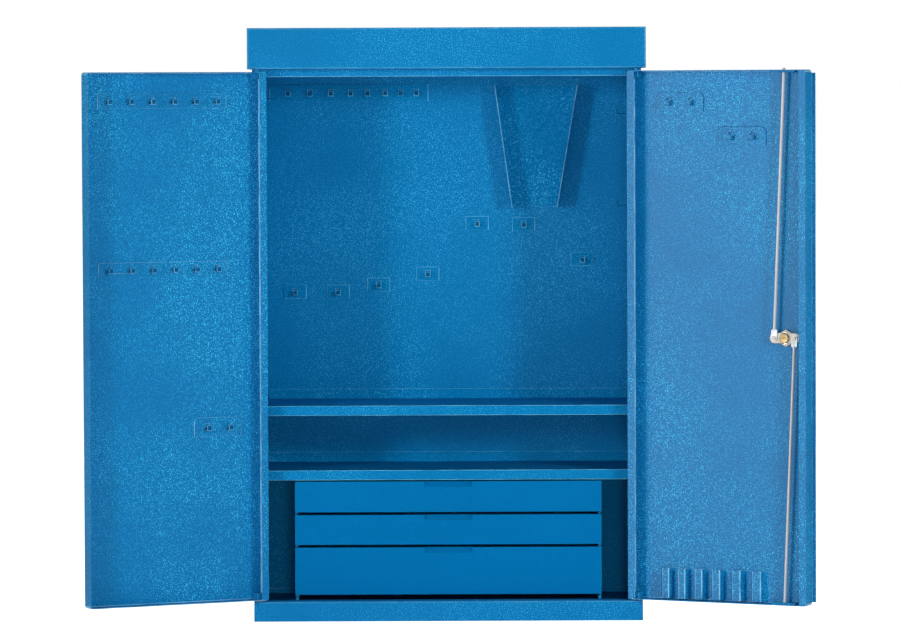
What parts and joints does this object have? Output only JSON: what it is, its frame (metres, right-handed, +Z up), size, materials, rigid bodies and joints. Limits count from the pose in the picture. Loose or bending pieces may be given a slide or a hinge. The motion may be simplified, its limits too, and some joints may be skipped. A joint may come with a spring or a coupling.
{
  "type": "wall tool cabinet with doors",
  "caption": "Sheet steel wall tool cabinet with hinged doors, shelves, drawers, hook rails, a tapered holder and a rod lock, stored with its doors open.",
  "frame": {"origin": "middle of the cabinet's footprint, on the plinth's underside", "axes": "+X to the right as seen from the front, +Y towards the wall, +Z up"},
  "size_m": [1.1796, 0.3954, 0.97],
  "materials": {
    "blue_textured": "hammered powder coat",
    "blue_smooth": "smooth satin powder coat",
    "zinc": "zinc plated",
    "brass": "turned, satin",
    "dark_plastic": "moulded",
    "white_plastic": "moulded washer",
    "chrome": "polished"
  },
  "bodies": {
    "carcass": {"base_tray": "blue_textured", "floor_panel": "blue_textured", "side_wall_left": "blue_textured", "side_wall_right": "blue_textured", "back_panel": "blue_textured", "ceiling_panel": "blue_textured", "front_lintel": "blue_textured", "header_hood": "blue_textured", "upper_shelf": "blue_textured", "lower_shelf": "blue_textured", "upper_shelf_clips": "blue_textured", "lower_shelf_clips": "blue_textured", "drawer_cheek_left": "blue_textured", "drawer_cheek_right": "blue_textured", "drawer_rails_left": "blue_textured", "drawer_rails_right": "blue_textured", "pivot_pins_bottom": "blue_textured", "pivot_pins_top": "blue_textured", "pivot_washers": "white_plastic", "back_hook_rail": "blue_textured", "back_hook_plates": "blue_textured", "side_hooks": "blue_textured", "tapered_holder": "blue_textured"},
    "door_left": {"door_left_panel": "blue_textured", "door_left_pivot_blocks": "blue_textured", "left_hook_rail_upper": "blue_textured", "left_hook_rail_lower": "blue_textured", "left_hook_plate": "blue_textured"},
    "door_right": {"door_right_panel": "blue_textured", "door_right_pivot_blocks": "blue_textured", "door_overlap_strip": "blue_textured", "right_hook_plate_upper": "blue_textured", "right_hook_plate_lower": "blue_textured", "pocket_strip": "blue_textured", "rod_guides": "blue_textured", "lock_barrel": "zinc", "lock_nut": "brass"},
    "drawer_top": {"drawer_top_front": "blue_smooth", "drawer_top_box": "blue_smooth"},
    "drawer_middle": {"drawer_middle_front": "blue_smooth", "drawer_middle_box": "blue_smooth"},
    "drawer_bottom": {"drawer_bottom_front": "blue_smooth", "drawer_bottom_box": "blue_smooth"},
    "latch": {"turn_handle": "dark_plastic", "latch_cam": "zinc", "cam_screw": "brass", "rod_rivets": "zinc"},
    "key": {"key_plug": "chrome"},
    "rod_up": {"rod_upper": "zinc"},
    "rod_down": {"rod_lower": "zinc"}
  },
  "joints": [
    {"name": "door_left_hinge", "type": "hinge", "parent": "carcass", "child": "door_left", "pos_m": [-0.309, -0.114, 0.46675], "axis": [0, 0, -1], "range_deg": [-152.5, 27.5]},
    {"name": "door_right_hinge", "type": "hinge", "parent": "carcass", "child": "door_right", "pos_m": [0.309, -0.114, 0.46675], "axis": [0, 0, 1], "range_deg": [-152.5, 27.5]},
    {"name": "drawer_top_slide", "type": "slide", "parent": "carcass", "child": "drawer_top", "axis": [0, -1, 0], "range_m": [0, 0.13]},
    {"name": "drawer_middle_slide", "type": "slide", "parent": "carcass", "child": "drawer_middle", "axis": [0, -1, 0], "range_m": [0, 0.13]},
    {"name": "drawer_bottom_slide", "type": "slide", "parent": "carcass", "child": "drawer_bottom", "axis": [0, -1, 0], "range_m": [0, 0.13]},
    {"name": "latch_turn", "type": "hinge", "parent": "door_right", "child": "latch", "pos_m": [0.5444, -0.23462, 0.466], "axis": [0.4617, 0.887, 0], "range_deg": [0, 90]},
    {"name": "key_turn", "type": "hinge", "parent": "latch", "child": "key", "pos_m": [0.5444, -0.23462, 0.466], "axis": [0.4617, 0.887, 0], "range_deg": [0, 90]},
    {"name": "rod_upper_swing", "type": "hinge", "parent": "latch", "child": "rod_up", "pos_m": [0.52843, -0.22631, 0.466], "axis": [0.4617, 0.887, 0], "range_deg": [-93, 0]},
    {"name": "rod_lower_swing", "type": "hinge", "parent": "latch", "child": "rod_down", "pos_m": [0.56037, -0.24294, 0.466], "axis": [0.4617, 0.887, 0], "range_deg": [-93, 0]}
  ],
  "couplings": [
    {"joint": "rod_upper_swing", "follows": "latch_turn", "ratio": -1.0265},
    {"joint": "rod_lower_swing", "follows": "latch_turn", "ratio": -1.0266}
  ]
}
